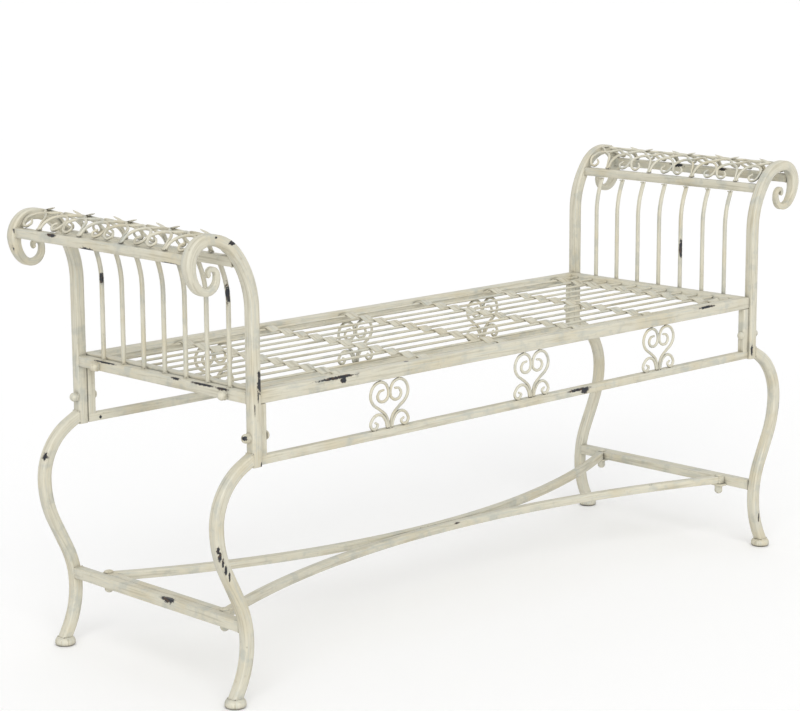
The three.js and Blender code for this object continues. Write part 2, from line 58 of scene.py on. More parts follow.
X_AXIS, Y_AXIS, Z_AXIS = Vector((1, 0, 0)), Vector((0, 1, 0)), Vector((0, 0, 1))

BRUSH_SHIFT = 0.37           # moves the brush marks on for each point made so far, so no two bars match
BAR_STEP = 0.05              # longest gap between the rings of a straight bar
END_RINGS, END_TURN = 3, 28  # rings that round off an end, and the degrees between them
SHARP_ANGLE = 38             # degrees between faces beyond which their edge stays crisp


# ---- Shapes ------------------------------------------------------------------


class Shape:
    """Collects the points and faces of one piece.

    Each point also carries its place for the brush marks, which run along the third axis, and how much of an
    edge it is on."""

    def __init__(self):
        self.points = []
        self.faces = []
        self.brushing = []
        self.edges = []

    def ring(self, points, brushing=None, edges=None):
        first = len(self.points)
        self.points.extend(points)
        self.brushing.extend(brushing or points)
        self.edges.extend(edges or [0.0] * len(points))
        return list(range(first, len(self.points)))

    def skin(self, rings, closed=False):
        """Quads between rings that run round the same way."""
        count = len(rings[0])
        pairs = list(zip(rings, rings[1:]))
        if closed:
            pairs.append((rings[-1], rings[0]))
        for low, high in pairs:
            for i in range(count):
                j = (i + 1) % count
                self.faces.append((low[i], low[j], high[j], high[i]))
        if not closed:
            self.faces.append(tuple(reversed(rings[0])))
            self.faces.append(tuple(rings[-1]))


def rounded_rectangle(width, height, corner, steps=3):
    points = []
    for cx, cy, turn in ((1, -1, -90), (1, 1, 0), (-1, 1, 90), (-1, -1, 180)):
        for i in range(steps + 1):
            angle = math.radians(turn + 90 * i / steps)
            x = cx * (width / 2 - corner) + corner * math.cos(angle)
            y = cy * (height / 2 - corner) + corner * math.sin(angle)
            points.append((x, y))
    return points


def corner_shares(section):
    """1 at the corners of a rounded section, 0 on its flats and all round a circle."""
    reach = [math.hypot(x, y) for x, y in section]
    spread = max(reach) - min(reach)
    if spread < 0.05 * max(reach):
        return [0.0] * len(section)
    return [((r - min(reach)) / spread) ** 2 for r in reach]


def circle(radius, sides=10):
    angles = [2 * math.pi * i / sides for i in range(sides)]
    return [(radius * math.cos(a), radius * math.sin(a)) for a in angles]


def tangents(path, closed=False):
    count = len(path)
    found = []
    for i in range(count):
        before = path[i - 1] if i or closed else path[0]
        after = path[(i + 1) % count] if i < count - 1 or closed else path[-1]
        found.append((after - before).normalized())
    return found


def sweep(shape, section, path, side, scale=None, ends=(0, 0), mitres=(None, None)):
    """Carries a section along a path.

    `side` is the direction of the section's second axis, or finds it from a point. `ends` are the rounding
    radii of the two ends, and `mitres` the (axis, value) planes that they stop on."""
    along = tangents(path)
    if scale is None:
        scale = [1.0] * len(path)
    half = max(max(abs(x), abs(y)) for x, y in section)
    stations = [(path[i], along[i], scale[i]) for i in range(len(path))]
    stations = rounded_end(stations, ends[0], half, -1) + stations
    stations = stations + rounded_end(stations[::-1], ends[1], half, 1)[::-1]
    rings = []
    edges = corner_shares(section)
    travelled = len(shape.points) * BRUSH_SHIFT
    before = stations[0][0]
    for place, (centre, forward, size) in enumerate(stations):
        second = side(centre) if callable(side) else side
        second = (second - forward * second.dot(forward)).normalized()
        first = second.cross(forward)
        ring = [centre + first * (x * size) + second * (y * size) for x, y in section]
        plane = mitres[0] if place == 0 else mitres[1] if place == len(stations) - 1 else None
        if plane:
            axis, value = plane
            ring = [p + forward * ((value - p[axis]) / forward[axis]) for p in ring]
        travelled += (centre - before).length
        before = centre
        brushing = [Vector((x * size, y * size, travelled)) for x, y in section]
        rings.append(shape.ring(ring, brushing, edges))
    shape.skin(rings)


def rounded_end(stations, radius, half, direction):
    """Rings that round one end over, listed from its tip inwards."""
    if not radius:
        return []
    centre, forward, size = stations[0]
    made = []
    for step in range(END_RINGS, 0, -1):
        angle = math.radians(END_TURN * step)
        reach = radius * size * math.sin(angle)
        shrink = size * (1 - min(1, radius / half) * (1 - math.cos(angle)))
        made.append((centre + forward * (direction * reach), forward, max(shrink, 0.04 * size)))
    return made


def bar(shape, low, high, corner=1.3 * MM, end=0.8 * MM):
    """A straight bar with softened edges between two corners of its box."""
    low, high = Vector(low), Vector(high)
    size = high - low
    axis = max(range(3), key=lambda i: size[i])
    middle = (low + high) / 2
    start, stop = middle.copy(), middle.copy()
    start[axis], stop[axis] = low[axis] + end, high[axis] - end
    second = Z_AXIS if axis != 2 else Y_AXIS
    forward = Vector([float(i == axis) for i in range(3)])
    first = second.cross(forward)
    width = abs(first.dot(size))
    height = abs(second.dot(size))
    steps = max(2, int(size[axis] / BAR_STEP))
    path = [start.lerp(stop, i / steps) for i in range(steps + 1)]
    sweep(shape, rounded_rectangle(width, height, corner), path, second, ends=(end, end))


def lathe(shape, profile, centre, axis, sides=28, hexagon=()):
    """Turns (radius, height) points about an axis. Rings whose index is in `hexagon` are six-sided."""
    axis = Vector(axis).normalized()
    across = axis.orthogonal().normalized()
    beside = axis.cross(across)
    rings = []
    for index, (radius, height) in enumerate(profile):
        points = []
        for i in range(sides):
            angle = 2 * math.pi * i / sides
            reach = max(radius, 0.02 * MM)
            if index in hexagon:
                reach *= math.cos(math.pi / 6) / math.cos(angle % (math.pi / 3) - math.pi / 6)
            direction = across * math.cos(angle) + beside * math.sin(angle)
            points.append(centre + axis * height + direction * reach)
        rings.append(shape.ring(points))
    shape.skin(rings)


def tangent_arcs(start, heading, legs, place, fine=4.0):
    """Points along ("run", length) and (radius, turn in degrees) legs, and how far along each one is."""
    a, b = start
    angle = math.radians(heading)
    path, distance = [place(a, b)], [0.0]
    for kind, amount in legs:
        straight = kind == "run"
        length = amount if straight else kind * abs(math.radians(amount))
        steps = max(1, round(length / 0.02)) if straight else math.ceil(abs(amount) / fine)
        step = length / steps
        bend = 0 if straight else math.radians(amount) / steps
        chord = step if straight else 2 * kind * math.sin(abs(bend) / 2)
        for _ in range(steps):
            a += chord * math.cos(angle + bend / 2)
            b += chord * math.sin(angle + bend / 2)
            angle += bend
            path.append(place(a, b))
            distance.append(distance[-1] + step)
    return path, distance


def smooth_wire(points, steps=6):
    """A centripetal Catmull-Rom curve through the points."""
    points = [Vector(p) for p in points]
    points = [points[0] * 2 - points[1], *points, points[-1] * 2 - points[-2]]
    path = [points[1]]
    for p0, p1, p2, p3 in zip(points, points[1:], points[2:], points[3:]):
        t1 = (p1 - p0).length ** 0.5
        t2 = t1 + (p2 - p1).length ** 0.5
        t3 = t2 + (p3 - p2).length ** 0.5
        for i in range(1, steps + 1):
            t = t1 + (t2 - t1) * i / steps
            a1 = p0.lerp(p1, t / t1)
            a2 = p1.lerp(p2, (t - t1) / (t2 - t1))
            a3 = p2.lerp(p3, (t - t2) / (t3 - t2))
            b1 = a1.lerp(a2, t / t2)
            b2 = a2.lerp(a3, (t - t1) / (t3 - t1))
            path.append(b1.lerp(b2, (t - t1) / (t2 - t1)))
    return path


WELD_STEP = 1.1 * MM         # between the rings of a bead
WELD_SIDES = 7
WELD_LUMPS = 420             # lumps along a metre of bead, roughly
WELD_SWELL = 0.45            # how much of its radius a bead swells and shrinks by


def weld(shape, loop, radius, closed=True):
    """A lumpy bead of weld along a loop of points."""
    points = []
    count = len(loop) if closed else len(loop) - 1
    for i in range(count):
        start, stop = loop[i], loop[(i + 1) % len(loop)]
        steps = max(2, round((stop - start).length / WELD_STEP))
        points += [start.lerp(stop, k / steps) for k in range(steps)]
    forward = tangents(points, closed)
    rings = []
    for centre, direction in zip(points, forward):
        across = direction.orthogonal().normalized()
        beside = direction.cross(across)
        lump = radius * (1.0 + WELD_SWELL * noise.noise(centre * WELD_LUMPS))
        ring = []
        for i in range(WELD_SIDES):
            angle = 2 * math.pi * i / WELD_SIDES
            ring.append(centre + (across * math.cos(angle) + beside * math.sin(angle)) * lump)
        rings.append(shape.ring(ring))
    shape.skin(rings, closed)


def rectangle_loop(centre, u, v):
    """The corners of a rectangle about a centre, from its two half-side vectors."""
    return [centre + u + v, centre - u + v, centre - u - v, centre + u - v]


def circle_loop(centre, radius, axis, steps=10):
    across = axis.orthogonal().normalized() * radius
    beside = axis.cross(across)
    angles = [2 * math.pi * i / steps for i in range(steps)]
    return [centre + across * math.cos(a) + beside * math.sin(a) for a in angles]


def finish_piece(name, shape, material, slot, *nodes):
    """Makes the mesh, with the attributes that its paint reads, and hands it to the frame."""
    mesh = bpy.data.meshes.new(name)
    mesh.from_pydata([tuple(p) for p in shape.points], [], shape.faces)
    mesh.validate()
    mesh.polygons.foreach_set("use_smooth", [True] * len(mesh.polygons))
    mesh.set_sharp_from_angle(angle=math.radians(SHARP_ANGLE))
    brushing = mesh.attributes.new("brushing", "FLOAT_VECTOR", "POINT")
    brushing.data.foreach_set("vector", [value for point in shape.brushing for value in point])
    mesh.attributes.new("edge", "FLOAT", "POINT").data.foreach_set("value", shape.edges)
    mesh.materials.append(material)
    piece = bpy.data.objects.new(name, mesh)
    bpy.context.scene.collection.objects.link(piece)
    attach(piece, "root")
    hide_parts(*nodes)


# ---- Distressed paint, with painted shade and highlights ------------------------

# Colours are linear.
CREAM = (0.621, 0.594, 0.485)
WARM = (0.582, 0.529, 0.388)
COOL = (0.456, 0.470, 0.422)
# Pale worn paint, also used as a painted highlight on edges.
RUBBED_AND_HIGHLIGHT = (0.669, 0.626, 0.485)
# Glaze, also used as painted shade on undersides and edges.
GLAZE_AND_SHADE = (0.235, 0.205, 0.130)
# Near black painted shade for corners, mixed with pooled glaze.
DARK_GLAZE_AND_SHADE = (0.060, 0.052, 0.038)
IRON = (0.016, 0.019, 0.025)
RUST = (0.070, 0.042, 0.025)


def add(tree, kind, inputs=None, **settings):
    made = tree.nodes.new("ShaderNode" + kind)
    for key, value in settings.items():
        setattr(made, key, value)
    for key, value in (inputs or {}).items():
        if isinstance(value, bpy.types.NodeSocket):
            tree.links.new(value, made.inputs[key])
        else:
            made.inputs[key].default_value = value
    return made


def number(tree, operation, *values, clamp=False):
    made = add(tree, "Math", dict(enumerate(values)), operation=operation, use_clamp=clamp)
    return made.outputs[0]


def step_up(tree, value, low, high):
    """0 below `low`, 1 above `high`, smooth between."""
    inputs = {"Value": value, "From Min": low, "From Max": high}
    return add(tree, "MapRange", inputs, interpolation_type="SMOOTHSTEP").outputs[0]


def blend(tree, share, one, two):
    made = add(tree, "Mix", {0: share}, data_type="RGBA")
    for socket, value in ((6, one), (7, two)):
        if isinstance(value, bpy.types.NodeSocket):
            tree.links.new(value, made.inputs[socket])
        else:
            made.inputs[socket].default_value = (*value, 1)
    return made.outputs[2]


def speckle(tree, position, scale, detail=2.0, rough=0.5):
    inputs = {"Vector": position, "Scale": scale, "Detail": detail, "Roughness": rough}
    return add(tree, "TexNoise", inputs).outputs["Fac"]


def chip_mask(tree, position, chips, ragged):
    """1 inside the listed chips, each an ellipsoid (centre, radii) with a ragged edge."""
    whole = None
    for centre, radii in chips:
        apart = add(tree, "VectorMath", {0: position, 1: tuple(centre)}, operation="SUBTRACT").outputs[0]
        scaled = add(tree, "VectorMath", {0: apart, 1: tuple(radii)}, operation="DIVIDE").outputs[0]
        reach = add(tree, "VectorMath", {0: scaled}, operation="LENGTH").outputs["Value"]
        inside = number(tree, "SUBTRACT", ragged, reach)
        whole = inside if whole is None else number(tree, "MAXIMUM", whole, inside)
    return whole


def paint(name, chips=(), wear=1.0, glaze_and_shade_amount=1.0, underside_shade=0.22):
    """Brushed cream paint with glaze, painted shade in its recesses and on its undersides, painted
    highlights on some edges, and chips to dark iron.

    `wear` is the amount of chance chipping, the next number the amount of glaze and painted shade, and the
    last the share of painted shade on undersides. The speckles' scales are in features per metre: 13 gives
    blotches of 8 cm, 900 grain of 1 mm.
    Each layer is laid over the one before it."""
    material = bpy.data.materials.new(name)
    material.use_nodes = True
    tree = material.node_tree
    tree.nodes.clear()
    position = add(tree, "TexCoord").outputs["Object"]
    along = add(tree, "Attribute", attribute_name="brushing").outputs["Vector"]
    brushed = add(tree, "Mapping", {"Vector": along, "Scale": (260, 260, 11)}).outputs[0]

    # Patterns.
    blotch = speckle(tree, position, 13, 3, 0.6)
    patch = speckle(tree, position, 34, 4, 0.6)
    mottle = speckle(tree, position, 150, 3, 0.6)
    fine = speckle(tree, position, 900, 2)
    streak = speckle(tree, brushed, 1, 3, 0.6)

    occlusion = add(tree, "AmbientOcclusion", {"Distance": 9 * MM}, samples=6).outputs["AO"]
    crevice = step_up(tree, occlusion, 0.86, 0.22)
    plain = add(tree, "NewGeometry").outputs["Normal"]
    edge = add(tree, "Attribute", attribute_name="edge").outputs["Fac"]

    # Uneven cream.
    colour = blend(tree, number(tree, "MULTIPLY", step_up(tree, blotch, 0.46, 0.66), 0.75), CREAM, WARM)
    colour = blend(tree, number(tree, "MULTIPLY", step_up(tree, patch, 0.50, 0.68), 0.70), colour, COOL)
    colour = blend(tree, number(tree, "MULTIPLY", step_up(tree, streak, 0.48, 0.34), 0.55), colour, COOL)

    # Glaze: wiped along the brush marks and in specks; painted shade on undersides, and painted shade with
    # pooled glaze in corners.
    wiped = number(tree, "MULTIPLY", step_up(tree, streak, 0.50, 0.68), 0.34 * glaze_and_shade_amount)
    colour = blend(tree, wiped, colour, GLAZE_AND_SHADE)
    # Painted shade: faces turned downwards are darkened.
    under = add(tree, "SeparateXYZ", {"Vector": plain}).outputs["Z"]
    painted_underside_shade = number(tree, "MULTIPLY", step_up(tree, under, 0.45, -0.45), underside_shade * glaze_and_shade_amount)
    painted_underside_shade = number(tree, "MULTIPLY", painted_underside_shade, number(tree, "MULTIPLY_ADD", patch, 1.6, -0.1, clamp=True))
    colour = blend(tree, painted_underside_shade, colour, GLAZE_AND_SHADE)
    speck = number(tree, "MULTIPLY", step_up(tree, mottle, 0.60, 0.80), 0.30 * glaze_and_shade_amount)
    colour = blend(tree, speck, colour, GLAZE_AND_SHADE)
    # Painted shade in corners and between parts, from ambient occlusion, mixed with pooled glaze.
    pooled_glaze_and_shade = number(tree, "MULTIPLY", crevice, number(tree, "MULTIPLY_ADD", patch, 0.9, 0.30))
    colour = blend(tree, number(tree, "MULTIPLY", pooled_glaze_and_shade, 0.85 * glaze_and_shade_amount, clamp=True), colour, DARK_GLAZE_AND_SHADE)

    # Edges: rubbed pale, partly a painted highlight, in some patches, and lined with glaze, partly painted
    # shade, in the others.
    rubbed_and_highlight = number(tree, "MULTIPLY", edge, step_up(tree, patch, 0.38, 0.58))
    colour = blend(tree, number(tree, "MULTIPLY", rubbed_and_highlight, 0.60), colour, RUBBED_AND_HIGHLIGHT)
    lined_and_shaded = number(tree, "MULTIPLY", edge, step_up(tree, patch, 0.50, 0.38))
    colour = blend(tree, number(tree, "MULTIPLY", lined_and_shaded, 0.35 * glaze_and_shade_amount), colour, GLAZE_AND_SHADE)

    # Paint lost by chance, more of it on edges, and where a chip is listed, with a rusty stain round it.
    tear = speckle(tree, position, 75, 5, 0.72)
    lottery = number(tree, "MULTIPLY_ADD", edge, 0.055, tear)
    lottery = number(tree, "MULTIPLY_ADD", blotch, 0.12, lottery)
    lost = step_up(tree, lottery, 0.842 - 0.018 * wear, 0.852 - 0.018 * wear)
    stain = step_up(tree, lottery, 0.800 - 0.018 * wear, 0.846 - 0.018 * wear)
    if chips:
        rough_edge = number(tree, "MULTIPLY_ADD", speckle(tree, position, 260, 4, 0.7), 2.1, -0.12)
        inside = chip_mask(tree, position, chips, rough_edge)
        lost = number(tree, "MAXIMUM", lost, step_up(tree, inside, 0.0, 0.07))
        stain = number(tree, "MAXIMUM", stain, step_up(tree, inside, -0.22, 0.02))
    colour = blend(tree, number(tree, "MULTIPLY", stain, 0.42), colour, RUST)
    metal = blend(tree, step_up(tree, mottle, 0.50, 0.66), IRON, RUST)
    colour = blend(tree, lost, colour, metal)

    # Sheen and surface.
    roughness = number(tree, "MULTIPLY_ADD", mottle, 0.28, 0.40)
    roughness = number(tree, "MULTIPLY_ADD", lost, -0.10, roughness, clamp=True)
    height = number(tree, "MULTIPLY", mottle, 0.55)
    height = number(tree, "MULTIPLY_ADD", patch, 0.9, height)
    height = number(tree, "MULTIPLY_ADD", fine, 0.10, height)
    height = number(tree, "MULTIPLY_ADD", streak, 0.30, height)
    height = number(tree, "MULTIPLY_ADD", lost, -0.55, height)
    bump = add(tree, "Bump", {"Strength": 0.55, "Distance": 0.6 * MM, "Height": height}).outputs[0]
    inputs = {"Base Color": colour, "Roughness": roughness, "Normal": bump, "Specular IOR Level": 0.42}
    shader = add(tree, "BsdfPrincipled", inputs).outputs[0]
    add(tree, "OutputMaterial", {"Surface": shader})
    return material


# Chips that show: node, place as shares of the node's box from its low corner, and radii in mm.
CHIPS = [
    ("post_front_left", (0.98, 0.0, 0.345), (5.0, 5, 12)),
    ("post_front_left", (0.97, 0.0, 0.390), (3.0, 4, 6)),
    ("post_front_left", (0.95, 0.0, 0.300), (1.2, 5, 10)),
    ("post_front_left", (0.90, 0.0, 0.245), (1.0, 3, 8)),
    ("post_front_left", (0.62, 0.0, 0.955), (6.5, 6, 3.2)),
    ("post_front_left", (0.40, 0.0, 0.985), (2.4, 4, 1.6)),
    ("post_front_left", (0.99, 0.0, 0.006), (2.8, 4, 4)),
    ("post_back_left", (0.0, 0.2, 0.82), (4.0, 6, 9)),
    ("post_back_left", (0.03, 0.1, 0.91), (2.4, 4, 4)),
    ("post_front_right", (0.03, 0.0, 0.045), (2.6, 4, 10)),
    ("post_front_right", (0.42, 0.0, 0.74), (1.2, 3, 9)),
    ("post_front_right", (0.50, 0.0, 0.84), (1.0, 3, 7)),
    ("leg_front_left", (0.06, 0.0, 0.640), (2.8, 4, 6)),
    ("leg_front_left", (0.10, 0.0, 0.612), (2.8, 4, 8)),
    ("leg_front_left", (0.17, 0.0, 0.582), (2.2, 4, 7)),
    ("leg_front_left", (0.24, 0.0, 0.552), (2.6, 4, 7)),
    ("leg_front_left", (0.33, 0.0, 0.522), (1.8, 4, 8)),
    ("leg_back_left", (0.06, 0.2, 0.832), (7.0, 7, 8)),
    ("leg_front_right", (1.0, 0.0, 0.66), (3.4, 4, 13)),
    ("leg_front_right", (0.25, 0.0, 0.12), (1.8, 4, 9)),
    ("seat_rim", (0.134, 0.0, 0.86), (40, 4.0, 2.4)),
    ("seat_rim", (0.144, 0.0, 0.58), (6.0, 4.0, 4.2)),
    ("seat_rim", (0.265, 0.02, 1.0), (4.0, 3.0, 2.0)),
    ("seat_rim", (0.895, 0.0, 0.86), (23, 4.0, 2.2)),
    ("apron_frame_front", (0.605, 0.0, 0.112), (28, 4.0, 2.4)),
    ("apron_frame_front", (0.618, 0.0, 0.075), (9, 4.0, 4.6)),
    ("apron_frame_back", (0.019, 0.0, 0.058), (2.6, 4, 2.6)),
    ("cross_rail_left", (0.0, 0.83, 1.0), (3.0, 26, 2.2)),
    ("cross_rail_left", (0.0, 0.24, 0.98), (3.0, 26, 2.6)),
    ("cross_rail_left", (0.0, 0.40, 0.96), (3.0, 9, 2.4)),
    ("cross_rail_left", (0.0, 0.13, 0.93), (3.0, 14, 3.0)),
    ("spindle_left_7", (0.76, 0.1, 0.69), (4.5, 3.6, 9)),
    ("spindle_left_1", (0.66, 0.0, 0.74), (5.0, 4.6, 16)),
    ("spindle_right_3", (0.08, 0.1, 0.40), (3.6, 3.6, 17)),
    ("outer_arm_rail_left", (0.0, 0.77, 0.95), (4, 11, 4.4)),
    ("outer_arm_rail_left", (0.0, 0.55, 0.04), (4, 14, 2.8)),
    ("outer_arm_rail_left", (0.0, 0.08, 0.0), (4, 20, 1.6)),
    ("outer_arm_rail_right", (0.0, 0.62, 0.9), (5, 16, 4)),
    ("outer_arm_rail_right", (0.0, 0.36, 0.9), (5, 12, 3)),
    ("end_stretcher_left", (0.0, 0.41, 1.0), (7, 15, 7.0)),
    ("bowed_stretcher", (0.878, 0.19, 1.0), (9, 3, 3)),
    ("bowed_stretcher", (0.53, 0.46, 0.55), (7, 3, 2)),
    ("seat_grille", (0.09, 0.15, 0.8), (14, 4, 3)),
    ("seat_grille", (0.275, 0.365, 0.9), (5, 6, 3)),
    ("seat_grille", (0.86, 0.44, 0.9), (9, 6, 3)),
    ("post_bolt_front_left", (0.03, 0.3, 0.62), (4, 5, 3.4)),
]

_paints = {}


def chips_of(node):
    low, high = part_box(node)
    found = []
    for name, share, radii in CHIPS:
        if name == node:
            centre = [low[i] + (high[i] - low[i]) * share[i] for i in range(3)]
            found.append((centre, [r * MM for r in radii]))
    return found


def paint_for(node, wear=1.0, glaze_and_shade_amount=1.0, underside_shade=0.22):
    """The paint of one node. Nodes with no listed chips share a material, so they leave the share of painted
    underside shade alone.
    """
    chips = chips_of(node)
    key = node if chips else f"w{wear:g}_d{glaze_and_shade_amount:g}"
    if key not in _paints:
        _paints[key] = paint(f"paint_{key}".replace(".", "-"), chips, wear, glaze_and_shade_amount, underside_shade)
    return _paints[key]


def plain_paint():
    """The paint of every weld bead."""
    if "welds" not in _paints:
        # More glaze and painted shade than the bars.
        _paints["welds"] = paint("paint_welds", (), 1.2, 1.4)
    return _paints["welds"]


# ---- End frames ------------------------------------------------------------------

# Legs of the bars' outlines in mm: a straight run and its length, or a bend's radius and its degrees.
POST_LEGS = [("run", 216.5), (130, -40), (60, -50), (32, -90)]
CURL_LEGS = [(46, -40), (24, -50), (18, -90), ("run", 3), (9.5, -90), (5.5, -130)]
TIP_SCALE = 0.38             # width of a scroll's tip as a share of the bar
LEG_START_Z = 10 * MM        # above the post's lower end
LEG_LEGS = [("run", 16), (90, -62), (150, -26), ("run", 48), (141, 60)]
SPINDLE_LEGS = [("run", 116), (130, -32)]
SPINDLE_RADIUS = 3.5 * MM
SPINDLE_INSET = 3.4 * MM     # from the inner side of the CAD spindle's box to its centre line
BAR_CORNER = 2.4 * MM        # rounding of the square bar of posts and legs
THIN_BAR = 12.7 * MM         # the bar of the aprons and the bowed stretcher
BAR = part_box("post_front_left")[1].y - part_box("post_front_left")[0].y
POST_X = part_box("post_front_right")[0].x + BAR / 2


def in_metres(legs):
    return [(kind, amount * MM) if kind == "run" else (kind * MM, amount) for kind, amount in legs]


def upright(end, y):
    """The plane of one end frame at a given depth."""
    return lambda outward, z: Vector((ENDS[end] * outward, y, z))


def post(end, side):
    node = f"post_{side}_{end}"
    low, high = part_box(node)
    place = upright(end, (low.y + high.y) / 2)
    path, distance = tangent_arcs((POST_X, low.z), 90, in_metres(POST_LEGS + CURL_LEGS), place)
    rolled = tangent_arcs((0, 0), 90, in_metres(POST_LEGS), place)[1][-1]
    scale = []
    for d in distance:
        curled = max(0.0, (d - rolled) / (distance[-1] - rolled))
        scale.append(1 - (1 - TIP_SCALE) * curled**0.8)
    shape = Shape()
    section = rounded_rectangle(BAR, BAR, BAR_CORNER)
    sweep(shape, section, path, Y_AXIS, scale, ends=(1 * MM, 5 * MM))
    finish_piece(f"painted_{node}", shape, paint_for(node), "frame_paint", node)


def leg(end, side):
    node = f"leg_{side}_{end}"
    low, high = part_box(node)
    y = (low.y + high.y) / 2
    face = POST_X + BAR / 2 + GAP
    start = (POST_X + BAR / 2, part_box(f"post_{side}_{end}")[0].z + LEG_START_Z)
    path, _ = tangent_arcs(start, -28, in_metres(LEG_LEGS), upright(end, y))
    path = [p for p in path if p.z > low.z + 2 * MM]
    shape = Shape()
    section = rounded_rectangle(BAR, BAR, BAR_CORNER)
    mitres = ((0, ENDS[end] * face), (2, low.z))
    sweep(shape, section, path, Y_AXIS, mitres=mitres)
    finish_piece(f"painted_{node}", shape, paint_for(node), "frame_paint", node)
    return path


def foot(end, side):
    node = f"foot_{side}_{end}"
    low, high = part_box(node)
    centre = Vector(((low.x + high.x) / 2, (low.y + high.y) / 2, low.z))
    radius, height = (high.x - low.x) / 2 - 0.1 * MM, high.z - low.z
    profile = [(0, 0), (radius - 3.2 * MM, 0), (radius - 1.6 * MM, 0.4 * MM), (radius - 0.5 * MM, 1.4 * MM)]
    profile += [(radius, 3.0 * MM), (radius - 0.1 * MM, height * 0.55), (radius - 0.9 * MM, height * 0.72)]
    profile += [(radius - 2.4 * MM, height * 0.87), (radius - 4.4 * MM, height * 0.97)]
    profile += [(radius - 6.0 * MM, height), (0, height)]
    shape = Shape()
    lathe(shape, profile, centre, Z_AXIS, 36)
    finish_piece(f"painted_{node}", shape, paint_for(node, glaze_and_shade_amount=1.3), "frame_paint", node)


def rails(end):
    for kind in ("cross_rail", "inner_arm_rail", "outer_arm_rail"):
        node = f"{kind}_{end}"
        shape = Shape()
        bar(shape, *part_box(node))
        finish_piece(f"painted_{node}", shape, paint_for(node), "frame_paint", node)


def end_stretcher(end):
    """The bar between the legs, with the two tabs that carry the bowed stretcher."""
    node = f"end_stretcher_{end}"
    low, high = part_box(node)
    outer, inner = (low.x, high.x) if end == "left" else (high.x, low.x)
    face = outer - ENDS[end] * BAR
    shape = Shape()
    bar(shape, (min(outer, face), low.y, low.z), (max(outer, face), high.y, high.z))
    for side in SIDES:
        bolt_low, bolt_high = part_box(f"stretcher_bolt_{side}_{end}")
        y = (bolt_low.y + bolt_high.y) / 2
        corner = (min(face, inner), y - 12 * MM, low.z)
        opposite = (max(face, inner), y + 12 * MM, low.z + 3.2 * MM)
        bar(shape, corner, opposite, 0.8 * MM, 0.6 * MM)
    finish_piece(f"painted_{node}", shape, paint_for(node), "frame_paint", node)


def spindle(end, index):
    node = f"spindle_{end}_{index}"
    low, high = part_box(node)
    inner = high.x if end == "left" else low.x
    x = abs(inner) + SPINDLE_INSET
    y = (low.y + high.y) / 2
    path, _ = tangent_arcs((x, low.z), 90, in_metres(SPINDLE_LEGS), upright(end, y))
    path = [p for p in path if p.z < high.z - 1.5 * MM]
    shape = Shape()
    sweep(shape, circle(SPINDLE_RADIUS, 14), path, Y_AXIS, mitres=(None, (2, high.z)))
    finish_piece(f"painted_{node}", shape, paint_for(node), "scroll_paint", node)
    return x, y, path[-1]


# ---- Arm scrollwork -----------------------------------------------------------------

ARM_WIRE = 4.4 * MM
ARM_RISE = 24.5 * MM
MOTIF_PITCH = 95.5           # mm
MOTIFS = 4
# Points of the wires in mm: along the arm from a motif's middle, and across it from the rail.
SCROLL = [(1.5, 0), (3, 12), (9, 25), (22, 33), (36, 30), (46.6, 18), (41, 5), (31, 1.5), (25, 8), (30, 14)]
CREST = [(-37, 46), (-22, 34), (0, 45), (22, 34), (37, 46)]
LEAF_LENGTH, LEAF_WIDTH, LEAF_LIFT = 25 * MM, 8.5 * MM, 6 * MM
# Half-widths and heights round a leaf: rounded margins, a dished underside and a keel on top.
LEAF_SECTION = [(-1, 0), (-0.5, -0.9), (0, -1.1), (0.5, -0.9), (1, 0)]
LEAF_SECTION += [(0.55, 0.9), (0.12, 1.1), (0, 1.5), (-0.12, 1.1), (-0.55, 0.9)]


class Barrel:
    """The rounded surface that the arm's wires lie on, between the two arm rails."""

    def __init__(self, end):
        self.sign = ENDS[end]
        starts = []
        for kind, inset in (("inner_arm_rail", 1), ("outer_arm_rail", -1)):
            low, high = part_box(f"{kind}_{end}")
            x = abs(low.x + high.x) / 2 + inset * MM
            starts.append(Vector((x, 0, high.z + ARM_WIRE / 2 + GAP)))
        inner, outer = starts
        chord = (outer - inner).length
        self.radius = (chord**2 / 4 + ARM_RISE**2) / (2 * ARM_RISE)
        self.spread = 2 * math.asin(chord / 2 / self.radius)
        self.arc = self.radius * self.spread
        self.slope = math.atan2(outer.z - inner.z, outer.x - inner.x)
        drop = Vector((math.sin(self.slope), 0, -math.cos(self.slope)))
        self.centre = (inner + outer) / 2 + drop * (self.radius - ARM_RISE)

    def point(self, along, across, lift=0.0):
        angle = math.pi / 2 + self.slope + self.spread * (0.5 - across / self.arc)
        reach = self.radius + lift
        x = self.centre.x + reach * math.cos(angle)
        return Vector((self.sign * x, along, self.centre.z + reach * math.sin(angle)))

    def normal(self, point):
        return Vector((point.x - self.sign * self.centre.x, 0, point.z - self.centre.z)).normalized()


def thinned(path, tip, steps):
    """Sizes along a wire that thins to `tip` of its thickness over its last steps."""
    last = len(path) - 1
    return [min(1.0, tip + (1 - tip) * (last - i) / steps) for i in range(len(path))]


def leaf(shape, barrel, along, direction):
    """A small pressed leaf, keeled along its middle, that springs from the crest."""
    steps = 12
    rings = []
    for i in range(steps + 1):
        t = i / steps
        swell = math.sin(math.pi * (0.08 + 0.90 * t)) ** 0.8
        width = LEAF_WIDTH / 2 * max(0.12, swell)
        thick = MM * (0.4 + 0.6 * math.sin(math.pi * t))
        centre = barrel.point(along + direction * LEAF_LENGTH * t, barrel.arc / 2, LEAF_LIFT * t)
        up = barrel.normal(centre)
        across = Y_AXIS.cross(up) * direction
        ring = [centre + across * (a * width) + up * (b * thick) for a, b in LEAF_SECTION]
        rings.append(shape.ring(ring))
    shape.skin(rings)


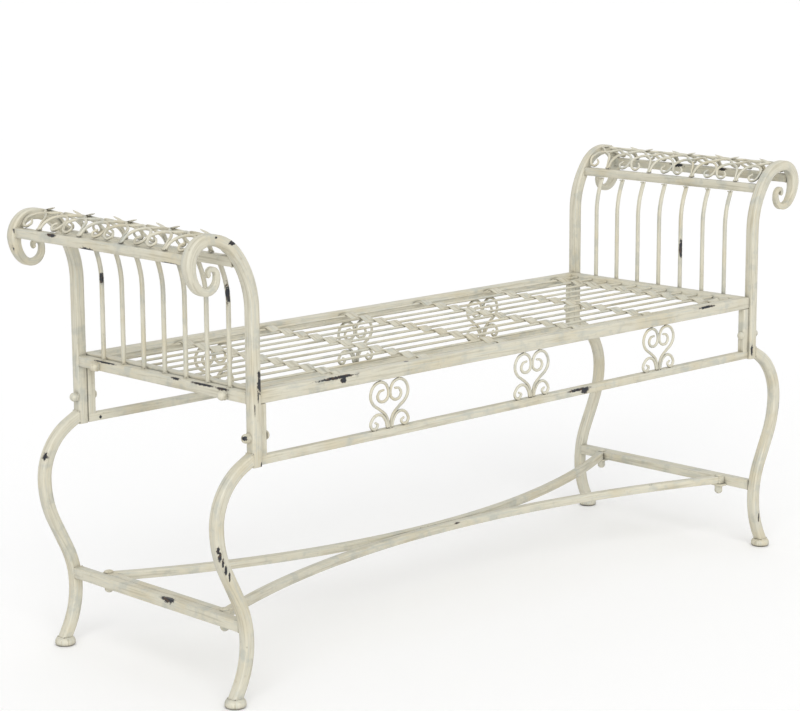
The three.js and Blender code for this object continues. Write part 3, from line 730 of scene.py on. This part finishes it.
def arm_scrollwork(end):
    node = f"arm_scrollwork_{end}"
    barrel = Barrel(end)
    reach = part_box(node)[1].y - ARM_WIRE / 2
    shape = Shape()
    section = circle(ARM_WIRE / 2, 10)
    pitch = MOTIF_PITCH * MM
    crest = [(-MOTIF_PITCH / 2, barrel.arc / 2 / MM), *CREST, (MOTIF_PITCH / 2, barrel.arc / 2 / MM)]
    for motif in range(MOTIFS):
        centre = (motif - (MOTIFS - 1) / 2) * pitch
        for outer in (False, True):
            for points, hands in ((SCROLL, (-1, 1)), (crest, (1,))):
                for hand in hands:
                    wire = []
                    for along, across in points:
                        y = min(reach, max(-reach, centre + hand * along * MM))
                        across *= MM
                        wire.append(barrel.point(y, barrel.arc - across if outer else across))
                    path = smooth_wire(wire, 5)
                    taper = thinned(path, 0.72, 12) if points is SCROLL else [1.0] * len(path)
                    ends = (0.4 * ARM_WIRE, 0.5 * ARM_WIRE)
                    sweep(shape, section, path, barrel.normal, taper, ends)
        for hand in (-1, 1):
            leaf(shape, barrel, centre + hand * (pitch / 2 - 1 * MM), -hand)
    finish_piece(f"painted_{node}", shape, paint_for(node, glaze_and_shade_amount=1.25), "scroll_paint", node)


# ---- Seat -----------------------------------------------------------------------------

ROD_PITCH, ROD_COUNT, ROD_DIAMETER = 34 * MM, 11, 4 * MM
STRAP_WIDTH, STRAP_THICKNESS, STRAP_WAVE = 20 * MM, 2.4 * MM, 2.6 * MM
STRAP_FIRST, STRAP_PITCH, STRAP_COUNT = -373 * MM, 170.8 * MM, 6
STRAP_BITE = 0.25 * MM       # how far a strap sinks into each rod it is welded to
ROD_STEPS = 40
WAVE_STEPS = 10              # from one rod to the next


def seat_rim():
    low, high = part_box("seat_rim")
    shape = Shape()
    inner_y = high.y - BAR
    inner_x = high.x - BAR
    for sign in SIDES.values():
        ys = sorted((sign * inner_y, sign * high.y))
        bar(shape, (low.x, ys[0], low.z), (high.x, ys[1], high.z), 1.8 * MM)
    for sign in ENDS.values():
        xs = sorted((sign * inner_x, sign * high.x))
        bar(shape, (xs[0], -inner_y - 0.5 * MM, low.z), (xs[1], inner_y + 0.5 * MM, high.z), 1.8 * MM)
    finish_piece("painted_seat_rim", shape, paint_for("seat_rim", glaze_and_shade_amount=0.9), "seat_paint", "seat_rim")


def apron_frame(side):
    node = f"apron_frame_{side}"
    low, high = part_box(node)
    depth = high.y - low.y
    shape = Shape()
    bar(shape, low, (high.x, high.y, low.z + depth), 1.5 * MM)
    for sign in ENDS.values():
        xs = sorted((sign * high.x, sign * (high.x - depth)))
        bar(shape, (xs[0], low.y, low.z + depth - 1 * MM), (xs[1], high.y, high.z), 1.5 * MM)
    finish_piece(f"painted_{node}", shape, paint_for(node), "seat_paint", node)


def seat_grille():
    """Round rods, with flat straps pressed into waves over them."""
    low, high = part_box("seat_grille")
    middle = high.z - STRAP_WAVE - STRAP_THICKNESS / 2
    rod_z = middle + STRAP_WAVE - STRAP_THICKNESS / 2 - ROD_DIAMETER / 2 + STRAP_BITE
    shape = Shape()
    for i in range(ROD_COUNT):
        y = (i - (ROD_COUNT - 1) / 2) * ROD_PITCH
        path = [Vector((low.x + (high.x - low.x) * k / ROD_STEPS, y, rod_z)) for k in range(ROD_STEPS + 1)]
        sweep(shape, circle(ROD_DIAMETER / 2, 12), path, Z_AXIS)
    samples = ROD_COUNT * WAVE_STEPS
    section = rounded_rectangle(STRAP_WIDTH, STRAP_THICKNESS, 1.0 * MM, 2)
    for i in range(STRAP_COUNT):
        x = STRAP_FIRST + i * STRAP_PITCH
        path = []
        for k in range(samples + 1):
            y = low.y + (high.y - low.y) * k / samples
            path.append(Vector((x, y, middle + STRAP_WAVE * math.cos(2 * math.pi * y / ROD_PITCH))))
        sweep(shape, section, path, Z_AXIS)
    # More glaze, and stronger painted shade on the rods' undersides and sides.
    glazed_and_shaded = paint_for("seat_grille", wear=1.0, glaze_and_shade_amount=1.4, underside_shade=0.48)
    finish_piece("painted_seat_grille", shape, glazed_and_shaded, "seat_paint", "seat_grille")


HEART_WIRE = 4.5 * MM
# Points of the heart's wires in mm, to one side of its middle and above its foot.
LOBE = [(1.9, 2.6), (3.1, 10.5), (7.8, 20.5), (19.4, 29.9), (31, 37.8), (36.9, 47.2), (36.4, 57.8)]
LOBE += [(29.1, 67.2), (17.9, 70.3), (7.3, 66.1), (1.9, 55.7), (3.4, 45.7), (11.2, 40.7), (19.9, 42.5)]
LOBE += [(23.5, 49.4), (19.4, 56.2), (11.7, 57.8)]
BASE = [(4.9, 2.6), (7.3, 11.4), (14.3, 20.3), (23.9, 22.7), (32.7, 18.7), (37.9, 9.9), (34.9, 3.7)]
BASE += [(27.4, 2.9), (23.4, 8.3), (28.2, 11.4)]


def heart(side, place):
    node = f"heart_{side}_{place}"
    low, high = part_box(node)
    x, y = (low.x + high.x) / 2, (low.y + high.y) / 2
    foot_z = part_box(f"apron_frame_{side}")[0].z + THIN_BAR
    shape = Shape()
    for points in (LOBE, BASE):
        for hand in (-1, 1):
            wire = [Vector((x + hand * a * MM, y, foot_z + b * MM)) for a, b in points]
            path = smooth_wire(wire, 6)
            ends = (HEART_WIRE / 2, HEART_WIRE / 2)
            sweep(shape, circle(HEART_WIRE / 2, 12), path, Y_AXIS, thinned(path, 0.75, 14), ends)
    finish_piece(f"painted_{node}", shape, paint_for(node, glaze_and_shade_amount=1.2), "scroll_paint", node)


# ---- Bowed stretcher ---------------------------------------------------------------------

SAG = 6 * MM                 # how far the bars dip at mid-span
BOW_STEPS = 80


def bowed_stretcher():
    low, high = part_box("bowed_stretcher")
    size = THIN_BAR
    z = high.z - size / 2
    end_x = high.x - size / 2
    bolt_low, bolt_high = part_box("stretcher_bolt_back_right")
    rise = (bolt_low.y + bolt_high.y) / 2 - size / 2
    radius = (end_x**2 + rise**2) / (2 * rise)
    turn = math.asin(end_x / radius)
    shape = Shape()
    for side in SIDES.values():
        path = []
        for k in range(BOW_STEPS + 1):
            angle = turn * (2 * k / BOW_STEPS - 1)
            x = radius * math.sin(angle)
            y = size / 2 + radius * (1 - math.cos(angle))
            path.append(Vector((x, side * y, z - SAG * (1 - (x / end_x) ** 2))))
        sweep(shape, rounded_rectangle(size, size, 1.6 * MM), path, Z_AXIS)
    for end in ENDS.values():
        xs = sorted((end * (end_x - size / 2), end * high.x))
        bar(shape, (xs[0], low.y, high.z - size), (xs[1], high.y, high.z), 1.5 * MM)
    painted = paint_for("bowed_stretcher")
    finish_piece("painted_bowed_stretcher", shape, painted, "frame_paint", "bowed_stretcher")


# ---- Bolts with domed nuts ---------------------------------------------------------------------


NUT_RADIUS, NUT_BASE, NUT_DOME = 7.2 * MM, 5 * MM, 6.4 * MM
TALL_NUT_BASE = 8.5 * MM     # of the nuts below the stretcher's tabs
HEAD_RADIUS, HEAD_RIM, HEAD_DEPTH = 7 * MM, 1.0 * MM, 5.4 * MM
HEAD_CROWN, LOW_HEAD_CROWN = 4.4 * MM, 2.0 * MM


def nut_profile(radius, base, dome):
    """A washer, a six-sided base and a ball top, as (radius, height) points, and the six-sided rings."""
    washer = 1.1 * MM
    points = [(0, 0), (radius, 0), (radius, washer * 0.7), (radius - 0.4 * MM, washer)]
    hexagon = [len(points), len(points) + 1]
    points += [(radius * 0.99, washer), (radius * 0.99, base - 0.6 * MM)]
    for i in range(9):
        angle = math.radians(90 * i / 8)
        points.append((radius * 0.94 * math.cos(angle), base + dome * math.sin(angle)))
    return points, hexagon


def bolt(node, axis):
    """`axis` points from the bolt's plain head to its domed nut."""
    low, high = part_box(node)
    centre = (low + high) / 2
    axis = Vector(axis)
    i = max(range(3), key=lambda k: abs(axis[k]))
    tip, back = (high[i], low[i]) if axis[i] > 0 else (low[i], high[i])
    upright_bolt = i == 2
    base = TALL_NUT_BASE if upright_bolt else NUT_BASE
    crown = LOW_HEAD_CROWN if upright_bolt else HEAD_CROWN
    shape = Shape()
    nut_face = centre.copy()
    nut_face[i] = tip - math.copysign(base + NUT_DOME, axis[i])
    profile, hexagon = nut_profile(NUT_RADIUS, base, NUT_DOME)
    lathe(shape, profile, nut_face, axis, 36, hexagon)
    head_face = centre.copy()
    head_face[i] = back + math.copysign(HEAD_DEPTH, axis[i])
    cap = [(0, 0), (HEAD_RADIUS, 0), (HEAD_RADIUS, HEAD_RIM)]
    for degrees in range(12, 91, 13):
        angle = math.radians(degrees)
        cap.append((HEAD_RADIUS * math.cos(angle), HEAD_RIM + crown * math.sin(angle)))
    lathe(shape, cap, head_face, -axis, 36)
    finish_piece(f"painted_{node}", shape, paint_for(node, wear=1.2), "bolt_paint", node)


# ---- Weld beads ---------------------------------------------------------------------------------


def end_welds(end, spindles):
    """The beads that join the bars of one end frame."""
    shape = Shape()
    sign = ENDS[end]
    for side in SIDES.values():
        name = "front" if side < 0 else "back"
        post_low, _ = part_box(f"post_{name}_{end}")
        y = side * abs(post_low.y + BAR / 2)
        inner_y = y - side * (BAR / 2 + GAP / 2)
        face = Vector((sign * (POST_X + BAR / 2 + GAP), y, post_low.z + LEG_START_Z))
        weld(shape, rectangle_loop(face, Y_AXIS * BAR * 0.46, Z_AXIS * BAR * 0.52), 1.2 * MM)
        for kind in ("cross_rail", "inner_arm_rail", "outer_arm_rail", "end_stretcher"):
            low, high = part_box(f"{kind}_{end}")
            width = BAR if kind == "end_stretcher" else high.x - low.x
            outer = low.x if end == "left" else high.x
            centre = Vector((outer - sign * width / 2, inner_y, (low.z + high.z) / 2))
            across = X_AXIS * (width / 2 - GAP)
            upward = Z_AXIS * ((high.z - low.z) / 2 - GAP)
            weld(shape, rectangle_loop(centre, across, upward), 1.0 * MM)
        foot_low, foot_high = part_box(f"foot_{name}_{end}")
        top = Vector(((foot_low.x + foot_high.x) / 2, y, foot_high.z + 0.2 * MM))
        weld(shape, rectangle_loop(top, X_AXIS * BAR * 0.48, Y_AXIS * BAR * 0.48), 1.0 * MM)
    rail_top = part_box(f"cross_rail_{end}")[1].z
    rail_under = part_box(f"inner_arm_rail_{end}")[0].z
    for x, y, top in spindles:
        weld(shape, circle_loop(Vector((sign * x, y, rail_top + 0.2 * MM)), 3.7 * MM, Z_AXIS), 1.1 * MM)
        weld(shape, circle_loop(Vector((top.x, y, rail_under - 0.3 * MM)), 3.7 * MM, Z_AXIS), 0.9 * MM)
    barrel = Barrel(end)
    for motif in range(MOTIFS):
        centre = (motif - (MOTIFS - 1) / 2) * MOTIF_PITCH * MM
        for across in (0, barrel.arc):
            spot = barrel.point(centre, across, -0.6 * MM)
            weld(shape, rectangle_loop(spot, Y_AXIS * 3.4 * MM, X_AXIS * 1.6 * MM), 1.2 * MM)
    finish_piece(f"weld_beads_{end}", shape, plain_paint(), "frame_paint")


HEART_FEET = (-31 * MM, 0, 31 * MM)          # where a heart meets its apron rail
HEART_TOPS = (-17.9 * MM, 17.9 * MM)         # where it meets the seat rim


def seat_welds():
    """The beads at the hearts and along the middle of the stretcher."""
    shape = Shape()
    rim_low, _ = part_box("seat_rim")
    for side in SIDES:
        foot_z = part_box(f"apron_frame_{side}")[0].z + THIN_BAR
        for place in ("left", "middle", "right"):
            low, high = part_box(f"heart_{side}_{place}")
            x, y = (low.x + high.x) / 2, (low.y + high.y) / 2
            for offset in HEART_FEET:
                spot = Vector((x + offset, y, foot_z + 0.4 * MM))
                weld(shape, circle_loop(spot, 2.0 * MM, Z_AXIS), 1.1 * MM)
            for offset in HEART_TOPS:
                spot = Vector((x + offset, y, rim_low.z - 0.4 * MM))
                weld(shape, circle_loop(spot, 1.8 * MM, Z_AXIS), 1.0 * MM)
    low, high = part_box("bowed_stretcher")
    top = high.z - SAG - 0.4 * MM
    line = [Vector((x * MM, 0, top)) for x in range(-36, 37, 6)]
    weld(shape, line, 1.3 * MM, closed=False)
    finish_piece("weld_beads_seat", shape, plain_paint(), "seat_paint")


# ---- Assembly -------------------------------------------------------------------------------------

for end in ENDS:
    for side in SIDES:
        post(end, side)
        leg(end, side)
        foot(end, side)
        bolt(f"post_bolt_{side}_{end}", (ENDS[end], 0, 0))
        bolt(f"rail_bolt_{side}_{end}", (ENDS[end], 0, 0))
        bolt(f"stretcher_bolt_{side}_{end}", (0, 0, -1))
    rails(end)
    end_stretcher(end)
    arm_scrollwork(end)
    end_welds(end, [spindle(end, index) for index in range(1, 8)])

seat_rim()
seat_grille()
for side in SIDES:
    apron_frame(side)
    for place in ("left", "middle", "right"):
        heart(side, place)
bowed_stretcher()
seat_welds()


# ---- Studio --------------------------------------------------------------------------------------------

STUDIO_DIM = 0.45                            # strength of the studio away from the lit parts
STUDIO_BRIGHT = 1.04                         # and of the backdrop
OVERHEAD_SHARE = 0.72                        # of the way from the one to the other
BACKDROP = (0.695, 0.719, 0)                 # direction of the backdrop, beyond the bench
FLOOR_HALF = 60.0
KEY_FROM, KEY_POWER, KEY_SPREAD = (-0.57, -0.69, 0.36), 2.1, 60
CAMERA_AT = (-2.5841, -2.5927, 1.0927)
CAMERA_YAW, CAMERA_PITCH, CAMERA_ROLL = -0.7679, -0.1897, -0.005     # radians
CAMERA_LENS = 105.3                          # mm, on a 36 mm sensor


def floor():
    mesh = bpy.data.meshes.new("studio_floor")
    half = FLOOR_HALF
    corners = [(-half, -half, 0), (half, -half, 0), (half, half, 0), (-half, half, 0)]
    mesh.from_pydata(corners, [], [(0, 1, 2, 3)])
    material = bpy.data.materials.new("studio_floor")
    material.use_nodes = True
    shader = material.node_tree.nodes["Principled BSDF"]
    shader.inputs["Base Color"].default_value = (0.99, 0.99, 0.99, 1)
    shader.inputs["Roughness"].default_value = 0.9
    shader.inputs["Specular IOR Level"].default_value = 0.1
    mesh.materials.append(material)
    made = bpy.data.objects.new("studio_floor", mesh)
    bpy.context.scene.collection.objects.link(made)


def sun(name, source, power, angle):
    """A soft light from far off in the direction of `source`."""
    data = bpy.data.lights.new(name, "SUN")
    data.energy = power
    data.angle = math.radians(angle)
    lamp = bpy.data.objects.new(name, data)
    lamp.location = source
    lamp.rotation_mode = "QUATERNION"
    lamp.rotation_quaternion = Vector(source).to_track_quat("Z", "Y")
    bpy.context.scene.collection.objects.link(lamp)


def world():
    """A dim studio with a bright white backdrop behind the bench and a soft box overhead."""
    made = bpy.data.worlds.new("studio")
    made.use_nodes = True
    tree = made.node_tree
    direction = add(tree, "TexCoord").outputs["Generated"]
    toward = add(tree, "VectorMath", {0: direction, 1: BACKDROP}, operation="DOT_PRODUCT")
    behind = toward.outputs["Value"]
    height = add(tree, "SeparateXYZ", {"Vector": direction}).outputs["Z"]
    backdrop = step_up(tree, behind, 0.35, 0.75)
    overhead = number(tree, "MULTIPLY", step_up(tree, height, 0.35, 0.9), OVERHEAD_SHARE)
    share = number(tree, "MAXIMUM", backdrop, overhead)
    strength = number(tree, "MULTIPLY_ADD", share, STUDIO_BRIGHT - STUDIO_DIM, STUDIO_DIM)
    tree.links.new(strength, tree.nodes["Background"].inputs["Strength"])
    tree.nodes["Background"].inputs["Color"].default_value = (1, 1, 1, 1)
    bpy.context.scene.world = made


def camera():
    yaw, pitch, roll = CAMERA_YAW, CAMERA_PITCH, CAMERA_ROLL
    data = bpy.data.cameras.new("camera")
    data.sensor_width = 36.0
    data.lens = CAMERA_LENS
    data.clip_start, data.clip_end = 0.05, 200
    made = bpy.data.objects.new("camera", data)
    made.location = CAMERA_AT
    forward = Vector((-math.sin(yaw) * math.cos(pitch), math.cos(yaw) * math.cos(pitch), math.sin(pitch)))
    level = Vector((math.cos(yaw), math.sin(yaw), 0))
    above = level.cross(forward)
    right = level * math.cos(roll) + above * math.sin(roll)
    up = above * math.cos(roll) - level * math.sin(roll)
    made.rotation_mode = "QUATERNION"
    made.rotation_quaternion = Matrix((right, up, -forward)).transposed().to_quaternion()
    bpy.context.scene.collection.objects.link(made)
    bpy.context.scene.camera = made


floor()
world()
sun("key", KEY_FROM, KEY_POWER, KEY_SPREAD)
camera()
bpy.context.scene.view_settings.view_transform = "Standard"
